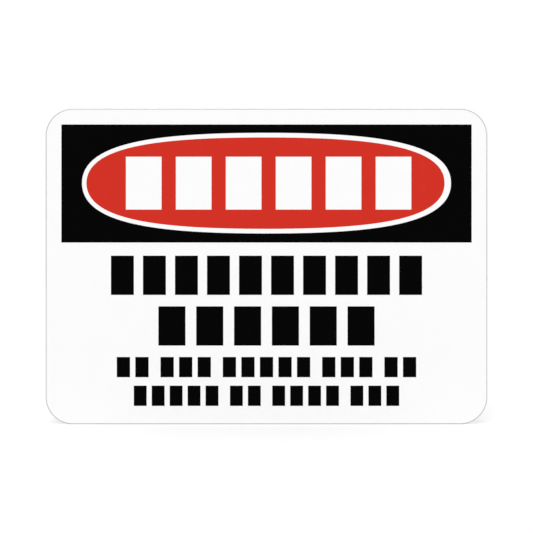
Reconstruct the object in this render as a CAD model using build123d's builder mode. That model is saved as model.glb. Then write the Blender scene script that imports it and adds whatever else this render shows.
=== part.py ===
from build123d import *
from collections import namedtuple
import os

# A printed warning sign: a thin aluminium sheet with round corners, faced with a white film. On the film
# are a black header with an oval window, a red oval that leaves a white ring inside that window, and four
# rows of plain black blocks below the header.
#
# The sign stands upright and faces -Y, with +Z up and +X to the reader's right. The origin is the centre
# of its flat back, which lies against whatever carries it. All sizes are in millimetres.

# Sheet
sign_width = 355.6
sign_height = 254.0
sheet_thickness = 1.0
corner_radius = 21.9
punch_roll = 0.3  # round that the punch leaves along the front edge
burr_break = 0.1  # small chamfer along the back edge

# White face film
film_thickness = 0.1
flat_rim = 0.5  # bare flat metal between the rolled edge and the film

# Print
ink_thickness = 0.05

# Black header
header_margin = 12.7  # from the edges of the sheet to the header, at the top and both sides
header_height = 95.0
window_side_border = 16.6  # black left beyond each end of the oval window
window_top_border = 7.0  # black left above and below the window, before its lift
window_lift = 0.3  # the window and what is in it lie this far above the middle of the header

# Red oval, inside the window
ring_side = 4.4  # white ring at the ends of the oval, before its shift
ring_top = 3.7  # white ring above and below the oval
red_shift = -0.8  # the red print lies this far along X from the middle of the window

# Fullness of both ovals: how far the handles of a quarter curve reach, as shares of its width and height
flank_fullness = 0.60
end_fullness = 0.81

# Signal row, left white in the red oval
signal_side_margin = 29.2  # from each end of the red oval to the nearest block, before the row's shift
signal_top_margin = 15.5  # from the top and bottom of the red oval to the blocks
signal_shift = 1.7  # the row lies this far along X from the middle of the window

# Side margins of the four rows below the header, from the edges of the sheet to the ends of each row
heading_1_margin = 52.6
heading_2_margin = 90.8
message_1_margin = 57.3
message_2_margin = 71.0

# Heights of these rows, from the header down
header_gap = 10.6  # between the header and the first heading
heading_gap = 9.2  # below each heading
message_gap = 6.8  # between the two messages
bottom_margin = 14.8  # between the last message and the edge of the sheet
heading_scale = 1.94  # height of a heading's blocks against a message's

# Spaces in a row, as shares of a block's width
block_gap = 0.4  # between two blocks of one group
group_gap = 0.9  # between two groups

# Sizes and places that follow from those above
bare_rim = punch_roll + flat_rim
film_plane = Plane.XZ.offset(sheet_thickness)
print_plane = film_plane.offset(film_thickness)

header_width = sign_width - 2 * header_margin
header_bottom = sign_height / 2 - header_margin - header_height
header_middle = header_bottom + header_height / 2
window_middle = header_middle + window_lift

window_width = header_width - 2 * window_side_border
window_height = header_height - 2 * window_top_border
red_width = window_width - 2 * ring_side
red_height = window_height - 2 * ring_top
signal_width = red_width - 2 * signal_side_margin
signal_height = red_height - 2 * signal_top_margin

# The two headings and two messages share the height between the header and the bottom margin
rows_top = header_bottom - header_gap
rows_bottom = bottom_margin - sign_height / 2
block_heights = rows_top - rows_bottom - 2 * heading_gap - message_gap
message_height = block_heights / (2 * heading_scale + 2)
heading_height = heading_scale * message_height

# Each row, from the top down, with the gap above it and the number of blocks in each of its groups
Row = namedtuple("Row", "name side_margin height gap_above groups")
rows = [
    Row("heading_row_1", heading_1_margin, heading_height, gap_above=0, groups=(10,)),
    Row("heading_row_2", heading_2_margin, heading_height, gap_above=heading_gap, groups=(6,)),
    Row("message_row_1", message_1_margin, message_height, gap_above=heading_gap, groups=(2, 3, 5, 3, 2)),
    Row("message_row_2", message_2_margin, message_height, gap_above=message_gap, groups=(5, 2, 4, 3)),
]


def oval(width, height):
    """A full-ended oval: one quarter curve, tangent to its box at both ends, and its mirror images."""
    end, top = width / 2, height / 2
    with BuildSketch() as sketch:
        with BuildLine():
            Bezier((end, 0), (end, end_fullness * top), (flank_fullness * end, top), (0, top))
            mirror(about=Plane.YZ)
            mirror(about=Plane.XZ)
        make_face()
    return sketch.sketch


def block_row(width, height, groups):
    """One row of plain blocks, all of one size, that fills the width and is centred on the origin."""
    gaps = sum(groups) - len(groups)
    breaks = len(groups) - 1
    block = width / (sum(groups) + block_gap * gaps + group_gap * breaks)
    middles = []
    middle = (block - width) / 2
    for count in groups:
        for _ in range(count):
            middles.append((middle, 0))
            middle += block * (1 + block_gap)
        middle += block * (group_gap - block_gap)
    with BuildSketch() as sketch:
        with Locations(*middles):
            Rectangle(block, height)
    return sketch.sketch


# Aluminium sheet: a round-cornered blank, rolled over along the front edge where the punch entered
with BuildPart() as sign_sheet:
    with BuildSketch(Plane.XZ):
        RectangleRounded(sign_width, sign_height, corner_radius)
    extrude(amount=sheet_thickness)
    fillet(sign_sheet.faces().sort_by(Axis.Y).first.edges(), punch_roll)
    chamfer(sign_sheet.faces().sort_by(Axis.Y).last.edges(), burr_break)

# White film, laid on the flat front and cut just inside the rolled edge
with BuildPart() as face_film:
    with BuildSketch(film_plane):
        RectangleRounded(sign_width - 2 * bare_rim, sign_height - 2 * bare_rim, corner_radius - bare_rim)
    extrude(amount=film_thickness)

# Black header, printed round an oval window that leaves the film showing
with BuildPart() as header_print:
    with BuildSketch(print_plane):
        with Locations((0, header_middle)):
            Rectangle(header_width, header_height)
        with Locations((0, window_middle)):
            add(oval(window_width, window_height), mode=Mode.SUBTRACT)
    extrude(amount=ink_thickness)

# Red oval, printed inside the window, with its row of blocks left open to the white film
with BuildPart() as oval_print:
    with BuildSketch(print_plane):
        with Locations((red_shift, window_middle)):
            add(oval(red_width, red_height))
        with Locations((signal_shift, window_middle)):
            add(block_row(signal_width, signal_height, groups=(6,)), mode=Mode.SUBTRACT)
    extrude(amount=ink_thickness)

nodes = {
    "sign_sheet": sign_sheet,
    "face_film": face_film,
    "header_print": header_print,
    "oval_print": oval_print,
}

# Black rows below the header, each hung from the one above
row_top = rows_top
for row in rows:
    row_top -= row.gap_above
    with BuildPart() as printed_row:
        with BuildSketch(print_plane):
            with Locations((0, row_top - row.height / 2)):
                add(block_row(sign_width - 2 * row.side_margin, row.height, row.groups))
        extrude(amount=ink_thickness)
    nodes[row.name] = printed_row
    row_top -= row.height

os.makedirs("parts", exist_ok=True)
for name, node in nodes.items():
    node.part.label = name
    export_step(node.part, f"parts/{name}.step")
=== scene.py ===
from math import cos, radians, sin

import bmesh
import bpy
from bpy.props import FloatProperty, FloatVectorProperty, IntProperty, PointerProperty
from mathutils.geometry import interpolate_bezier
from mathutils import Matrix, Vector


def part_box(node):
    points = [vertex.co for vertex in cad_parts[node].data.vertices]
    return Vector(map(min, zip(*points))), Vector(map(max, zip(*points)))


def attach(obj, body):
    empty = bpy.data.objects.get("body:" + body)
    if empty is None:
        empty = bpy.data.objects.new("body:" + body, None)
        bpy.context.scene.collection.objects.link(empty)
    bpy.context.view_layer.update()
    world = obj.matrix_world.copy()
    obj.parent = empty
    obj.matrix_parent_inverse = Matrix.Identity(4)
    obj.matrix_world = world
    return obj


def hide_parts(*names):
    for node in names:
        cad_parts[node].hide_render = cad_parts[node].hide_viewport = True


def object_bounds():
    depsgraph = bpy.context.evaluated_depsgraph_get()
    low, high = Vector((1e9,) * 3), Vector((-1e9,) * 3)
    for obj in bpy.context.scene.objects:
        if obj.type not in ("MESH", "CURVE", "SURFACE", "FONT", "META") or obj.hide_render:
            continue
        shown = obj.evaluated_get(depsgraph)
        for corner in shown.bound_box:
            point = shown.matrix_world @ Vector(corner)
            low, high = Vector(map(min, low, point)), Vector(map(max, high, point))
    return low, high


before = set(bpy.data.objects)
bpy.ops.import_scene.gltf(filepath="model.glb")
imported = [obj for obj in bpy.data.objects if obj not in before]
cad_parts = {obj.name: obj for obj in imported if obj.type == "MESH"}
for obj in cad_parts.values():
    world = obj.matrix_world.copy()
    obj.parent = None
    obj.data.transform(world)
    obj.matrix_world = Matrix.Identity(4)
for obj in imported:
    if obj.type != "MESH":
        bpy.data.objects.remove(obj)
cad_low, cad_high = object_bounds()

bl_info = {
    "name": "Header Sign",
    "version": (1, 0, 0),
    "blender": (4, 5, 0),
    "location": "View3D > Sidebar > Header Sign",
    "description": "Makes the sheet, film and inks of a printed header sign and sets up its studio",
    "category": "Object",
}

MM = 0.001
RIGHT_ANGLE = radians(90)
ROWS = ("heading_row_1", "heading_row_2", "message_row_1", "message_row_2")  # these keep their CAD mesh

# Meshes
QUADRANTS = ((1, 1), (-1, 1), (-1, -1), (1, -1))
SHARP_ANGLE = radians(30)  # edges that turn by more than this are shaded as edges
CORNER_STEPS = 48  # chords to a round corner
ROLL_STEPS = 6  # chords over a rounded edge
QUARTER_STEPS = 96  # points to a quarter of an oval

# Shader nodes
NUMBER, VECTOR = "NodeSocketFloat", "NodeSocketVector"
NODE_SPACING = 190
WHITE = (1, 1, 1, 1)
NOISE_LOW, NOISE_MIDDLE, NOISE_HIGH = 0.3, 0.5, 0.7  # the range that most of a noise lies in
CLOUDS_PER_WAVE = 3.7  # clouds of uneven tone and gloss to one slow wave of a film
CLOUD_SHARE, PEEL_SHARE = 0.6, 0.4  # what the clouds and the dimples give to a film's tone
BROAD_STREAKS = (0.35, 0.08, 0.08)  # broad streaks to one fine streak, along it and both ways across it

# How squarely the metal looks along Y, front or back: edge up to the first, and flat face from the second
EDGE_FACING, FACE_FACING = 0.90, 0.98


# Settings

class SheetSettings(bpy.types.PropertyGroup):
    """The aluminium sheet."""

    corner_radius: FloatProperty(
        name="Corner Radius", description="Radius of the sheet's corners",
        subtype="DISTANCE", unit="LENGTH", min=1 * MM, default=21.9 * MM,
    )
    punch_roll: FloatProperty(
        name="Punch Roll", description="Round that the punch leaves along the front edge",
        subtype="DISTANCE", unit="LENGTH", min=0.01 * MM, default=0.3 * MM,
    )
    burr_break: FloatProperty(
        name="Burr Break", description="Chamfer along the back edge",
        subtype="DISTANCE", unit="LENGTH", min=0.01 * MM, default=0.1 * MM,
    )
    metal: FloatVectorProperty(
        name="Metal", description="Colour of the rolled aluminium",
        subtype="COLOR", size=3, min=0, max=1, default=(0.53, 0.535, 0.545),
    )
    roughness: FloatProperty(
        name="Roughness", description="Roughness of the rolled faces",
        subtype="FACTOR", min=0, max=1, default=0.38,
    )
    gloss_swing: FloatProperty(
        name="Gloss Swing", description="How much the roughness changes between broad streaks",
        subtype="FACTOR", min=0, max=1, default=0.05,
    )
    streak_tone: FloatProperty(
        name="Streak Tone", description="How much the rolling streaks darken the metal",
        subtype="FACTOR", min=0, max=1, default=0.10,
    )
    streak_length: FloatProperty(
        name="Streak Length", description="Usual length of a rolling streak",
        subtype="DISTANCE", unit="LENGTH", min=1 * MM, default=60 * MM,
    )
    streak_width: FloatProperty(
        name="Streak Width", description="Usual width of a rolling streak",
        subtype="DISTANCE", unit="LENGTH", min=0.05 * MM, default=0.7 * MM,
    )
    streak_depth: FloatProperty(
        name="Streak Depth", description="Depth of the streaks",
        subtype="DISTANCE", unit="LENGTH", min=0, default=0.004 * MM,
    )
    shear_length: FloatProperty(
        name="Shear Length", description="Usual length of a mark across the punched edge",
        subtype="DISTANCE", unit="LENGTH", min=0.1 * MM, default=1.5 * MM,
    )
    shear_width: FloatProperty(
        name="Shear Width", description="Usual width of a mark across the punched edge",
        subtype="DISTANCE", unit="LENGTH", min=0.01 * MM, default=0.12 * MM,
    )
    rubbed_depth: FloatProperty(
        name="Rubbed Depth", description="How far back from the front the punch has rubbed the edge",
        subtype="DISTANCE", unit="LENGTH", min=0, default=0.6 * MM,
    )
    rubbed_roughness: FloatProperty(
        name="Rubbed Roughness", description="Roughness of the edge where the punch has rubbed it",
        subtype="FACTOR", min=0, max=1, default=0.38,
    )
    rubbed_tone: FloatProperty(
        name="Rubbed Tone", description="Brightness of the rubbed edge against the faces",
        subtype="FACTOR", min=0, max=1, default=0.92,
    )
    broken_roughness: FloatProperty(
        name="Broken Roughness", description="Roughness of the edge where the metal broke off",
        subtype="FACTOR", min=0, max=1, default=0.6,
    )
    broken_tone: FloatProperty(
        name="Broken Tone", description="Brightness of the broken edge against the faces",
        subtype="FACTOR", min=0, max=1, default=0.80,
    )
    broken_wander: FloatProperty(
        name="Broken Wander", description="How far the line between the rubbed and broken edge wanders",
        subtype="DISTANCE", unit="LENGTH", min=0, default=0.3 * MM,
    )
    grain_size: FloatProperty(
        name="Grain Size", description="Distance between the grains of the broken edge",
        subtype="DISTANCE", unit="LENGTH", min=0.01 * MM, default=0.06 * MM,
    )
    grain_depth: FloatProperty(
        name="Grain Depth", description="Depth of the grains",
        subtype="DISTANCE", unit="LENGTH", min=0, default=0.03 * MM,
    )


class FilmSettings(bpy.types.PropertyGroup):
    """The white film and the surface that it gives to the ink on it."""

    cut_edge: FloatProperty(
        name="Cut Edge", description="Round along the film's cut edge",
        subtype="DISTANCE", unit="LENGTH", min=0.001 * MM, default=0.02 * MM,
    )
    white: FloatVectorProperty(
        name="White", description="Colour of the film",
        subtype="COLOR", size=3, min=0, max=1, default=(0.955, 0.955, 0.955),
    )
    tone_swing: FloatProperty(
        name="Tone Swing", description="How much the white changes over the film",
        subtype="FACTOR", min=0, max=1, default=0.006,
    )
    roughness: FloatProperty(
        name="Roughness", description="Roughness of the film",
        subtype="FACTOR", min=0, max=1, default=0.36,
    )
    gloss_swing: FloatProperty(
        name="Gloss Swing", description="How much the roughness changes over the film",
        subtype="FACTOR", min=0, max=1, default=0.04,
    )
    reflectance: FloatProperty(
        name="Reflectance", description="Specular level of the film, where 0.5 is that of clear plastic",
        subtype="FACTOR", min=0, max=1, default=0.3,
    )
    peel_size: FloatProperty(
        name="Peel Size", description="Distance between the film's fine dimples",
        subtype="DISTANCE", unit="LENGTH", min=0.1 * MM, default=1.1 * MM,
    )
    peel_depth: FloatProperty(
        name="Peel Depth", description="Depth of the fine dimples",
        subtype="DISTANCE", unit="LENGTH", min=0, default=0.012 * MM,
    )
    wave_size: FloatProperty(
        name="Wave Size", description="Distance between the sheet's slow waves",
        subtype="DISTANCE", unit="LENGTH", min=1 * MM, default=55 * MM,
    )
    wave_depth: FloatProperty(
        name="Wave Depth", description="Depth of the slow waves",
        subtype="DISTANCE", unit="LENGTH", min=0, default=0.05 * MM,
    )


class LayoutSettings(bpy.types.PropertyGroup):
    """The oval window in the header, and the signal row in the red oval."""

    window_side_border: FloatProperty(
        name="Side Border", description="Black left beyond each end of the window",
        subtype="DISTANCE", unit="LENGTH", min=1 * MM, default=16.6 * MM,
    )
    window_top_border: FloatProperty(
        name="Top Border", description="Black left above and below the window, before its lift",
        subtype="DISTANCE", unit="LENGTH", min=1 * MM, default=7.0 * MM,
    )
    window_lift: FloatProperty(
        name="Window Lift", description="How far the window lies above the middle of the header",
        subtype="DISTANCE", unit="LENGTH", default=0.3 * MM,
    )
    flank_fullness: FloatProperty(
        name="Flank Fullness", description="Reach of a quarter curve's upper handle, against its width",
        subtype="FACTOR", min=0.1, max=1, default=0.60,
    )
    end_fullness: FloatProperty(
        name="End Fullness", description="Reach of a quarter curve's end handle, against its height",
        subtype="FACTOR", min=0.1, max=1, default=0.81,
    )
    signal_blocks: IntProperty(
        name="Signal Blocks", description="Number of blocks in the signal row",
        min=1, default=6,
    )
    signal_side_margin: FloatProperty(
        name="Signal Side Margin", description="From an end of the oval to the row, before its shift",
        subtype="DISTANCE", unit="LENGTH", min=1 * MM, default=29.2 * MM,
    )
    signal_top_margin: FloatProperty(
        name="Signal Top Margin", description="From the top and bottom of the oval to the blocks",
        subtype="DISTANCE", unit="LENGTH", min=1 * MM, default=15.5 * MM,
    )
    signal_shift: FloatProperty(
        name="Signal Shift", description="How far the row lies right of the middle of the window",
        subtype="DISTANCE", unit="LENGTH", default=1.7 * MM,
    )
    block_gap: FloatProperty(
        name="Block Gap", description="Space between two blocks, as a share of a block's width",
        subtype="FACTOR", min=0, max=1, default=0.4,
    )


class InkSettings(bpy.types.PropertyGroup):
    """The printing inks."""

    black: FloatVectorProperty(
        name="Black", description="Colour of the black ink",
        subtype="COLOR", size=3, min=0, max=1, default=(0.0006, 0.0006, 0.0007),
    )
    black_swing: FloatProperty(
        name="Black Swing", description="How much the black changes over the print",
        subtype="FACTOR", min=0, max=1, default=0.25,
    )
    red: FloatVectorProperty(
        name="Red", description="Colour of the red ink",
        subtype="COLOR", size=3, min=0, max=1, default=(0.637, 0.0313, 0.0186),
    )
    red_swing: FloatProperty(
        name="Red Swing", description="How much the red changes over the print",
        subtype="FACTOR", min=0, max=1, default=0.02,
    )
    roughness: FloatProperty(
        name="Roughness", description="Roughness of the dried ink",
        subtype="FACTOR", min=0, max=1, default=0.42,
    )
    gloss_swing: FloatProperty(
        name="Gloss Swing", description="How much the roughness changes over the print",
        subtype="FACTOR", min=0, max=1, default=0.05,
    )
    reflectance: FloatProperty(
        name="Reflectance", description="Specular level of the ink, where 0.5 is that of clear plastic",
        subtype="FACTOR", min=0, max=1, default=0.02,
    )


class StudioSettings(bpy.types.PropertyGroup):
    """The floor, the lamps and the camera."""

    frame_width: FloatProperty(
        name="Frame Width", description="Width that the picture takes in at the sign's face",
        subtype="DISTANCE", unit="LENGTH", min=10 * MM, default=429 * MM,
    )
    lens: FloatProperty(
        name="Lens", description="Focal length in millimetres",
        min=10, default=100,
    )
    ambient: FloatProperty(
        name="Ambient", description="Strength of the even light from all round",
        min=0, default=0.80,
    )
    key_strength: FloatProperty(
        name="Key Lamp", description="Strength of the broad lamp in front and above",
        min=0, default=0.75,
    )
    key_azimuth: FloatProperty(
        name="Key Azimuth", description="How far the key lamp stands to the right of straight in front",
        subtype="ANGLE", unit="ROTATION", default=radians(-4),
    )
    key_elevation: FloatProperty(
        name="Key Elevation", description="How high the key lamp stands",
        subtype="ANGLE", unit="ROTATION", default=radians(45),
    )
    key_spread: FloatProperty(
        name="Key Spread", description="How broad the key lamp looks, which softens its shadow",
        subtype="ANGLE", unit="ROTATION", default=radians(20),
    )
    back_strength: FloatProperty(
        name="Back Lamp", description="Strength of the lamp behind and above, which throws no shadow",
        min=0, default=0.7,
    )
    back_azimuth: FloatProperty(
        name="Back Azimuth", description="How far the back lamp stands to the right of straight in front",
        subtype="ANGLE", unit="ROTATION", default=radians(150),
    )
    back_elevation: FloatProperty(
        name="Back Elevation", description="How high the back lamp stands",
        subtype="ANGLE", unit="ROTATION", default=radians(50),
    )
    back_spread: FloatProperty(
        name="Back Spread", description="How broad the back lamp looks",
        subtype="ANGLE", unit="ROTATION", default=radians(35),
    )
    floor: FloatVectorProperty(
        name="Floor", description="Colour of the floor",
        subtype="COLOR", size=3, min=0, max=1, default=(0.80, 0.80, 0.80),
    )
    floor_lift: FloatProperty(
        name="Floor Lift", description="Brightness added to the floor where it is seen",
        min=0, default=0.14,
    )
    floor_reach: FloatProperty(
        name="Floor Reach", description="How far the floor runs from the sign",
        subtype="DISTANCE", unit="LENGTH", min=1, default=12,
    )


# Outlines, as points (x, z) in the plane of the sign

def round_cornered_ring(width, height, radius):
    """A round-cornered rectangle about the origin."""
    points = []
    for turn, (side, end) in enumerate(QUADRANTS):
        for step in range(CORNER_STEPS + 1):
            angle = (turn + step / CORNER_STEPS) * RIGHT_ANGLE
            x = side * (width / 2 - radius) + radius * cos(angle)
            z = end * (height / 2 - radius) + radius * sin(angle)
            points.append((x, z))
    return points


def rectangle_ring(x, z, width, height):
    """A rectangle about the point x, z."""
    return [(x + side * width / 2, z + end * height / 2) for side, end in QUADRANTS]


def oval_ring(x, z, width, height, layout):
    """A full-ended oval about the point x, z: one quarter curve and its mirror images."""
    half, top = width / 2, height / 2
    quarter = interpolate_bezier(
        (half, 0), (half, layout.end_fullness * top), (layout.flank_fullness * half, top), (0, top),
        QUARTER_STEPS,
    )
    points = []
    for turn, (side, end) in enumerate(QUADRANTS):
        stretch = quarter if turn % 2 == 0 else quarter[::-1]
        points += [(x + side * point[0], z + end * point[1]) for point in stretch[:-1]]
    return points


# Pieces

def add_piece(name, shape, material, node):
    """Puts a finished shape in the scene as a piece of the sign, which stands for one CAD node."""
    bmesh.ops.recalc_face_normals(shape, faces=shape.faces[:])
    mesh = bpy.data.meshes.new(name)
    shape.to_mesh(mesh)
    shape.free()
    mesh.shade_smooth()
    mesh.set_sharp_from_angle(angle=SHARP_ANGLE)
    mesh.materials.append(material)
    piece = bpy.data.objects.new(name, mesh)
    bpy.context.scene.collection.objects.link(piece)
    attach(piece, "root")
    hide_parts(node)


def add_ring(shape, points, y):
    """The points of one ring as corners of a shape, at one place along Y."""
    return [shape.verts.new((x, y, z)) for x, z in points]


def add_wall(shape, near, far):
    """The wall between two rings that have as many points."""
    for corners in zip(near, near[1:] + near[:1], far[1:] + far[:1], far):
        shape.faces.new(corners)


def rolled_edge(back, front, roll):
    """Insets and places along Y, from the back of a wall over its rounded edge to the flat front."""
    profile = [(0, back)]
    for step in range(ROLL_STEPS + 1):
        angle = step / ROLL_STEPS * RIGHT_ANGLE
        profile.append((roll * (1 - cos(angle)), front + roll * (1 - sin(angle))))
    profile.append((2 * roll, front))
    return profile


def plate_shape(profile, width, height, radius):
    """A round-cornered plate, with a ring of points for each inset and place along Y in its profile."""
    shape = bmesh.new()
    rings = []
    for inset, y in profile:
        points = round_cornered_ring(width - 2 * inset, height - 2 * inset, radius - inset)
        rings.append(add_ring(shape, points, y))
    for near, far in zip(rings, rings[1:]):
        add_wall(shape, near, far)
    shape.faces.new(rings[0])
    shape.faces.new(rings[-1])
    return shape


def print_shape(outline, windows, back, front):
    """A flat layer of ink, with its outline and its windows cut straight through."""
    shape = bmesh.new()
    back_edges, front_edges = [], []
    for points in (outline, *windows):
        rings = [add_ring(shape, points, y) for y in (back, front)]
        add_wall(shape, *rings)
        for ring, edges in zip(rings, (back_edges, front_edges)):
            edges += [shape.edges.get(pair) for pair in zip(ring, ring[1:] + ring[:1])]
    for edges in (back_edges, front_edges):
        bmesh.ops.triangle_fill(shape, use_beauty=True, edges=edges, normal=(0, 1, 0))
    return shape


def middle_of(low, high):
    """The middle of a box, as its x and z."""
    return (low.x + high.x) / 2, (low.z + high.z) / 2


def size_of(low, high):
    """The width and height of a box."""
    return high.x - low.x, high.z - low.z


# Shader building

class Wiring:
    """One node tree, with short ways to add its nodes and join them."""

    def __init__(self, tree):
        self.tree = tree
        self.column = 0

    def add(self, kind, values=None, **settings):
        """A new node with its settings, and with values or the outputs of other nodes on its sockets."""
        node = self.tree.nodes.new(kind)
        self.column += 1
        node.location = (self.column * NODE_SPACING, 0)
        for name, setting in settings.items():
            setattr(node, name, setting)
        for socket, value in (values or {}).items():
            self.feed(value, node.inputs[socket])
        return node

    def feed(self, value, socket):
        """Puts a value or the output of another node on a socket."""
        if isinstance(value, bpy.types.NodeSocket):
            self.tree.links.new(value, socket)
        else:
            socket.default_value = value

    def group(self, tree, values):
        """The outputs of a node group that is given these values."""
        return self.add("ShaderNodeGroup", values, node_tree=tree).outputs

    def math(self, operation, *values):
        """The result of one operation on numbers."""
        return self.add("ShaderNodeMath", dict(enumerate(values)), operation=operation).outputs[0]

    def mix(self, factor, low, high):
        """The low value where the factor is 0, and the high one where it is 1."""
        return self.add("ShaderNodeMix", {0: factor, 2: low, 3: high}).outputs[0]

    def split(self, vector):
        """The X, Y and Z of a position or a normal."""
        return self.add("ShaderNodeSeparateXYZ", {0: vector}).outputs

    def scale(self, vector, factor):
        """A position or a colour, times a factor."""
        return self.add("ShaderNodeVectorMath", {0: vector, 3: factor}, operation="SCALE").outputs[0]

    def span(self, value, start, end, low, high):
        """A value that goes from low to high as the one given goes from start to end, and no further."""
        values = {"Value": value, "From Min": start, "From Max": end, "To Min": low, "To Max": high}
        return self.add("ShaderNodeMapRange", values).outputs["Result"]

    def noise(self, position, detail=2.0, roughness=0.5):
        """Noise about 0.5, with one lump for each unit of position."""
        values = {"Vector": position, "Scale": 1.0, "Detail": detail, "Roughness": roughness}
        return self.add("ShaderNodeTexNoise", values).outputs["Fac"]

    def spread(self, noise, low, high):
        """The usual range of a noise, spread out from low to high."""
        return self.span(noise, NOISE_LOW, NOISE_HIGH, low, high)

    def around(self, noise, middle, swing):
        """The usual range of a noise, spread out by a swing to each side of a middle value."""
        return self.spread(noise, middle - swing, middle + swing)

    def relief(self, noise, depth):
        """The height of a surface that a noise raises and sinks by up to half the depth."""
        return self.math("MULTIPLY", self.math("SUBTRACT", noise, NOISE_MIDDLE), depth)

    def bump(self, height):
        """The normal of a surface with this height, in metres."""
        values = {"Strength": 1.0, "Distance": 1.0, "Height": height}
        return self.add("ShaderNodeBump", values).outputs["Normal"]


def new_group(name, inputs, outputs):
    """A shader node group with named sockets, its wiring, what it is given and what it makes."""
    group = bpy.data.node_groups.new(name, "ShaderNodeTree")
    for socket, kind in inputs.items():
        group.interface.new_socket(socket, in_out="INPUT", socket_type=kind)
    for socket, kind in outputs.items():
        group.interface.new_socket(socket, in_out="OUTPUT", socket_type=kind)
    wire = Wiring(group)
    return group, wire, wire.add("NodeGroupInput").outputs, wire.add("NodeGroupOutput").inputs


# Materials, and the node groups that they share

def film_group():
    """Dimples and slow waves of a film on a sheet, and the faint unevenness that comes with them."""
    name = "film_surface"
    if name in bpy.data.node_groups:
        return bpy.data.node_groups[name]
    group, wire, given, made = new_group(
        name,
        {
            "Position": VECTOR,
            "Peel Size": NUMBER, "Peel Depth": NUMBER,
            "Wave Size": NUMBER, "Wave Depth": NUMBER,
        },
        {"Tone": NUMBER, "Gloss": NUMBER, "Height": NUMBER},
    )
    per_peel = wire.math("DIVIDE", 1.0, given["Peel Size"])
    per_wave = wire.math("DIVIDE", 1.0, given["Wave Size"])
    per_cloud = wire.math("MULTIPLY", per_wave, CLOUDS_PER_WAVE)
    peel = wire.noise(wire.scale(given["Position"], per_peel), detail=1.5)
    wave = wire.noise(wire.scale(given["Position"], per_wave), detail=1.0)
    cloud = wire.noise(wire.scale(given["Position"], per_cloud), detail=4.0)
    shares = wire.math("MULTIPLY", cloud, CLOUD_SHARE), wire.math("MULTIPLY", peel, PEEL_SHARE)
    heights = wire.relief(peel, given["Peel Depth"]), wire.relief(wave, given["Wave Depth"])
    wire.feed(wire.math("ADD", *shares), made["Tone"])
    wire.feed(cloud, made["Gloss"])
    wire.feed(wire.math("ADD", *heights), made["Height"])
    return group


def streak_group():
    """Long thin streaks of a rolled or sheared metal surface, along X of the position it is given."""
    name = "metal_streaks"
    if name in bpy.data.node_groups:
        return bpy.data.node_groups[name]
    group, wire, given, made = new_group(
        name,
        {"Position": VECTOR, "Length": NUMBER, "Width": NUMBER},
        {"Fine": NUMBER, "Broad": NUMBER},
    )
    position = wire.split(given["Position"])
    along = wire.math("DIVIDE", position["X"], given["Length"])
    across = [wire.math("DIVIDE", position[axis], given["Width"]) for axis in "YZ"]
    fine = wire.add("ShaderNodeCombineXYZ", dict(zip("XYZ", (along, *across)))).outputs[0]
    broad = wire.add("ShaderNodeVectorMath", {0: fine, 1: BROAD_STREAKS}, operation="MULTIPLY").outputs[0]
    wire.feed(wire.noise(fine, detail=3.0, roughness=0.6), made["Fine"])
    wire.feed(wire.noise(broad), made["Broad"])
    return group


def new_material(name):
    """An empty material, its wiring and its output's surface socket."""
    material = bpy.data.materials.new(name)
    material.use_nodes = True
    material.node_tree.nodes.clear()
    wire = Wiring(material.node_tree)
    return material, wire, wire.add("ShaderNodeOutputMaterial").inputs["Surface"]


def printed_surface(name, colour, tone_swing, finish):
    """A film or ink: one colour, with the film's dimples and a faint unevenness in tone and gloss."""
    film = bpy.context.scene.sign_film
    material, wire, surface = new_material(name)
    texture = wire.group(film_group(), {
        "Position": wire.add("ShaderNodeTexCoord").outputs["Object"],
        "Peel Size": film.peel_size, "Peel Depth": film.peel_depth,
        "Wave Size": film.wave_size, "Wave Depth": film.wave_depth,
    })
    shader = wire.add("ShaderNodeBsdfPrincipled", {
        "Base Color": wire.scale(tuple(colour), wire.around(texture["Tone"], 1, tone_swing)),
        "Roughness": wire.around(texture["Gloss"], finish.roughness, finish.gloss_swing),
        "Normal": wire.bump(texture["Height"]),
        "Specular IOR Level": finish.reflectance,
    })
    wire.feed(shader.outputs[0], surface)
    return material


def black_ink():
    """The black ink of the header and the rows below it."""
    ink = bpy.context.scene.sign_ink
    name = "satin_black_ink"
    return bpy.data.materials.get(name) or printed_surface(name, ink.black, ink.black_swing, ink)


def punched_edge(wire, sheet, position, marks):
    """Tone, roughness and height of the edge: rubbed smooth by the punch, and broken off behind that."""
    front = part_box("sign_sheet")[0].y
    depth = wire.math("SUBTRACT", wire.split(position)["Y"], front)
    wandering = wire.math("ADD", depth, wire.relief(marks["Broad"], sheet.broken_wander))
    broken = wire.span(wandering, sheet.rubbed_depth, sheet.rubbed_depth + sheet.grain_size, 0.0, 1.0)
    grain = wire.noise(wire.scale(position, 1 / sheet.grain_size))
    return (
        wire.mix(broken, sheet.rubbed_tone, sheet.broken_tone),
        wire.mix(broken, sheet.rubbed_roughness, sheet.broken_roughness),
        wire.math("MULTIPLY", broken, wire.relief(grain, sheet.grain_depth)),
    )


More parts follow.
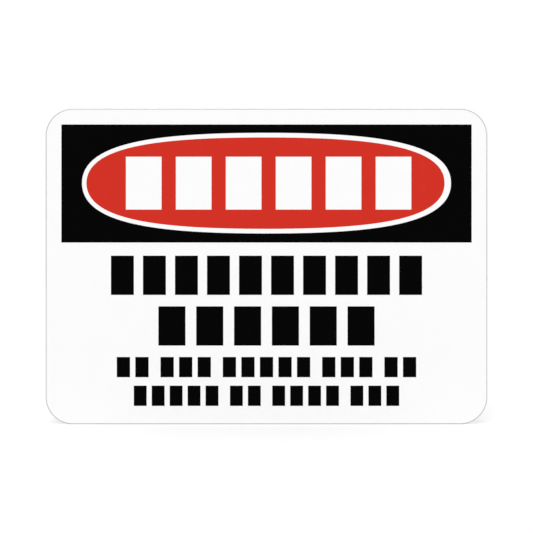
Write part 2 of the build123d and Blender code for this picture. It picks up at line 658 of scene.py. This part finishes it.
def sheet_surface(sheet):
    """Mill-finish aluminium: rolling streaks on the two faces, and a punched edge all round."""
    material, wire, surface = new_material("mill_aluminium")
    position = wire.add("ShaderNodeTexCoord").outputs["Object"]
    turned = wire.add(
        "ShaderNodeVectorRotate", {"Vector": position, "Angle": RIGHT_ANGLE}, rotation_type="Z_AXIS",
    ).outputs[0]
    rolled = wire.group(streak_group(), {
        "Position": position, "Length": sheet.streak_length, "Width": sheet.streak_width,
    })
    marks = wire.group(streak_group(), {
        "Position": turned, "Length": sheet.shear_length, "Width": sheet.shear_width,
    })

    facing = wire.split(wire.add("ShaderNodeNewGeometry").outputs["True Normal"])["Y"]
    edge = wire.span(wire.math("ABSOLUTE", facing), EDGE_FACING, FACE_FACING, 1.0, 0.0)
    edge_tone, edge_roughness, edge_height = punched_edge(wire, sheet, position, marks)

    swing = sheet.streak_tone
    streak = wire.mix(edge, rolled["Fine"], marks["Fine"])
    streak_tone = wire.spread(streak, 1 - swing, 1 + swing / 2)
    broad_tone = wire.mix(edge, wire.around(rolled["Broad"], 1, swing / 2), edge_tone)
    face_roughness = wire.around(rolled["Broad"], sheet.roughness, sheet.gloss_swing)
    heights = wire.relief(streak, sheet.streak_depth), wire.math("MULTIPLY", edge, edge_height)
    shader = wire.add("ShaderNodeBsdfPrincipled", {
        "Base Color": wire.scale(tuple(sheet.metal), wire.math("MULTIPLY", streak_tone, broad_tone)),
        "Metallic": 1.0,
        "Roughness": wire.mix(edge, face_roughness, edge_roughness),
        "Normal": wire.bump(wire.math("ADD", *heights)),
    })
    wire.feed(shader.outputs[0], surface)
    return material


# Studio

def seen_directly(wire):
    """1 for camera, glossy and transmission rays, and 0 for the rays that light a matt surface."""
    path = wire.add("ShaderNodeLightPath").outputs
    shiny = wire.math("MAXIMUM", path["Is Glossy Ray"], path["Is Transmission Ray"])
    return wire.math("MAXIMUM", path["Is Camera Ray"], shiny)


def build_world(studio):
    """Even light from all round, which is seen and reflected as plain white."""
    world = bpy.data.worlds.new("white_surround")
    world.use_nodes = True
    world.node_tree.nodes.clear()
    wire = Wiring(world.node_tree)
    strength = wire.mix(seen_directly(wire), studio.ambient, 1.0)
    background = wire.add("ShaderNodeBackground", {"Color": WHITE, "Strength": strength})
    wire.add("ShaderNodeOutputWorld", {"Surface": background.outputs[0]})
    bpy.context.scene.world = world


def build_floor(studio):
    """A wide floor at the foot of the sign: seen as white where it is lit, and darker in the shadow."""
    mesh = bpy.data.meshes.new("floor")
    reach = studio.floor_reach
    corners = [(side * reach, end * reach, cad_low.z) for side, end in QUADRANTS]
    mesh.from_pydata(corners, [], [(0, 1, 2, 3)])
    floor = bpy.data.objects.new("floor", mesh)
    bpy.context.scene.collection.objects.link(floor)
    material, wire, surface = new_material("pale_floor")
    matt = wire.add("ShaderNodeBsdfDiffuse", {"Color": (*studio.floor, 1)})
    lift = wire.math("MULTIPLY", seen_directly(wire), studio.floor_lift)
    glow = wire.add("ShaderNodeEmission", {"Color": WHITE, "Strength": lift})
    lit = wire.add("ShaderNodeAddShader", {0: matt.outputs[0], 1: glow.outputs[0]})
    wire.feed(lit.outputs[0], surface)
    mesh.materials.append(material)


def build_lamp(name, strength, azimuth, elevation, spread):
    """A broad lamp far off, aimed at the sign."""
    lamp = bpy.data.lights.new(name, "SUN")
    lamp.energy = strength
    lamp.angle = spread
    holder = bpy.data.objects.new(name, lamp)
    holder.rotation_euler = (RIGHT_ANGLE - elevation, 0, azimuth)
    bpy.context.scene.collection.objects.link(holder)
    return lamp


def build_camera(studio):
    """A camera square on to the face, as far off as its lens needs to take in the frame's width."""
    camera = bpy.data.cameras.new("camera")
    camera.lens = studio.lens
    distance = studio.frame_width * camera.lens / camera.sensor_width
    holder = bpy.data.objects.new("camera", camera)
    middle = (cad_low + cad_high) / 2
    holder.location = (middle.x, cad_low.y - distance, middle.z)
    holder.rotation_euler = (RIGHT_ANGLE, 0, 0)
    bpy.context.scene.collection.objects.link(holder)
    bpy.context.scene.camera = holder


# Operators

class SIGN_OT_sheet(bpy.types.Operator):
    """Make the aluminium sheet"""

    bl_idname = "sign.sheet"
    bl_label = "Aluminium Sheet"

    def execute(self, context):
        sheet = context.scene.sign_sheet
        low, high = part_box("sign_sheet")
        profile = [(sheet.burr_break, high.y)]
        profile += rolled_edge(high.y - sheet.burr_break, low.y, sheet.punch_roll)
        shape = plate_shape(profile, *size_of(low, high), sheet.corner_radius)
        add_piece("aluminium_sheet", shape, sheet_surface(sheet), "sign_sheet")
        return {"FINISHED"}


class SIGN_OT_film(bpy.types.Operator):
    """Make the white face film"""

    bl_idname = "sign.film"
    bl_label = "White Film"

    def execute(self, context):
        film = context.scene.sign_film
        low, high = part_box("face_film")
        bare_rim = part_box("sign_sheet")[1].x - high.x
        radius = context.scene.sign_sheet.corner_radius - bare_rim
        shape = plate_shape(rolled_edge(high.y, low.y, film.cut_edge), *size_of(low, high), radius)
        surface = printed_surface("satin_white_film", film.white, film.tone_swing, film)
        add_piece("white_film", shape, surface, "face_film")
        return {"FINISHED"}


class SIGN_OT_header(bpy.types.Operator):
    """Print the black header round its oval window"""

    bl_idname = "sign.header"
    bl_label = "Black Header"

    def execute(self, context):
        layout = context.scene.sign_layout
        low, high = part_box("header_print")
        x, z = middle_of(low, high)
        width, height = size_of(low, high)
        window = oval_ring(
            x, z + layout.window_lift,
            width - 2 * layout.window_side_border, height - 2 * layout.window_top_border, layout,
        )
        shape = print_shape(rectangle_ring(x, z, width, height), [window], high.y, low.y)
        add_piece("header_ink", shape, black_ink(), "header_print")
        return {"FINISHED"}


class SIGN_OT_oval(bpy.types.Operator):
    """Print the red oval round the open blocks of its signal row"""

    bl_idname = "sign.oval"
    bl_label = "Red Oval"

    def execute(self, context):
        layout, ink = context.scene.sign_layout, context.scene.sign_ink
        low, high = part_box("oval_print")
        x, z = middle_of(low, high)
        width, height = size_of(low, high)
        count = layout.signal_blocks
        row_width = width - 2 * layout.signal_side_margin
        block_width = row_width / (count + layout.block_gap * (count - 1))
        block_height = height - 2 * layout.signal_top_margin
        row_x = middle_of(*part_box("header_print"))[0] + layout.signal_shift
        first_x = row_x - (row_width - block_width) / 2
        pitch = block_width * (1 + layout.block_gap)
        blocks = [
            rectangle_ring(first_x + index * pitch, z, block_width, block_height)
            for index in range(count)
        ]
        shape = print_shape(oval_ring(x, z, width, height, layout), blocks, high.y, low.y)
        surface = printed_surface("satin_red_ink", ink.red, ink.red_swing, ink)
        add_piece("oval_ink", shape, surface, "oval_print")
        return {"FINISHED"}


class SIGN_OT_rows(bpy.types.Operator):
    """Print the rows of blocks below the header"""

    bl_idname = "sign.rows"
    bl_label = "Block Rows"

    def execute(self, context):
        for name in ROWS:
            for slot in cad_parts[name].material_slots:
                slot.material = black_ink()
        return {"FINISHED"}


class SIGN_OT_stage(bpy.types.Operator):
    """Lay the floor and set up the world, the lamps and the camera"""

    bl_idname = "sign.stage"
    bl_label = "Stage"

    def execute(self, context):
        studio = context.scene.sign_studio
        context.scene.view_settings.view_transform = "Standard"
        build_world(studio)
        build_floor(studio)
        build_lamp(
            "key_lamp",
            studio.key_strength, studio.key_azimuth, studio.key_elevation, studio.key_spread,
        )
        back_lamp = build_lamp(
            "back_lamp",
            studio.back_strength, studio.back_azimuth, studio.back_elevation, studio.back_spread,
        )
        back_lamp.use_shadow = False
        build_camera(studio)
        return {"FINISHED"}


# Panel and registration

class SIGN_PT_panel(bpy.types.Panel):
    """Lists the sign's settings and operators"""

    bl_idname = "SIGN_PT_panel"
    bl_label = "Header Sign"
    bl_space_type = "VIEW_3D"
    bl_region_type = "UI"
    bl_category = "Header Sign"

    def draw(self, context):
        scene = context.scene
        for title, settings, operators in (
            ("Sheet", scene.sign_sheet, (SIGN_OT_sheet,)),
            ("Film", scene.sign_film, (SIGN_OT_film,)),
            ("Layout", scene.sign_layout, (SIGN_OT_header, SIGN_OT_oval)),
            ("Inks", scene.sign_ink, (SIGN_OT_rows,)),
            ("Stage", scene.sign_studio, (SIGN_OT_stage,)),
        ):
            box = self.layout.box()
            box.label(text=title)
            for name in settings.bl_rna.properties.keys():
                if name not in ("rna_type", "name"):
                    box.prop(settings, name)
            for operator in operators:
                box.operator(operator.bl_idname)


SETTINGS = {
    "sign_sheet": SheetSettings,
    "sign_film": FilmSettings,
    "sign_layout": LayoutSettings,
    "sign_ink": InkSettings,
    "sign_studio": StudioSettings,
}
CLASSES = (
    *SETTINGS.values(),
    SIGN_OT_sheet, SIGN_OT_film, SIGN_OT_header, SIGN_OT_oval, SIGN_OT_rows, SIGN_OT_stage,
    SIGN_PT_panel,
)


def register():
    for cls in CLASSES:
        bpy.utils.register_class(cls)
    for name, settings in SETTINGS.items():
        setattr(bpy.types.Scene, name, PointerProperty(type=settings))


def unregister():
    for name in SETTINGS:
        delattr(bpy.types.Scene, name)
    for cls in reversed(CLASSES):
        bpy.utils.unregister_class(cls)


def main():
    register()
    bpy.ops.sign.sheet()
    bpy.ops.sign.film()
    bpy.ops.sign.header()
    bpy.ops.sign.oval()
    bpy.ops.sign.rows()
    bpy.ops.sign.stage()


if __name__ == "__main__":
    main()
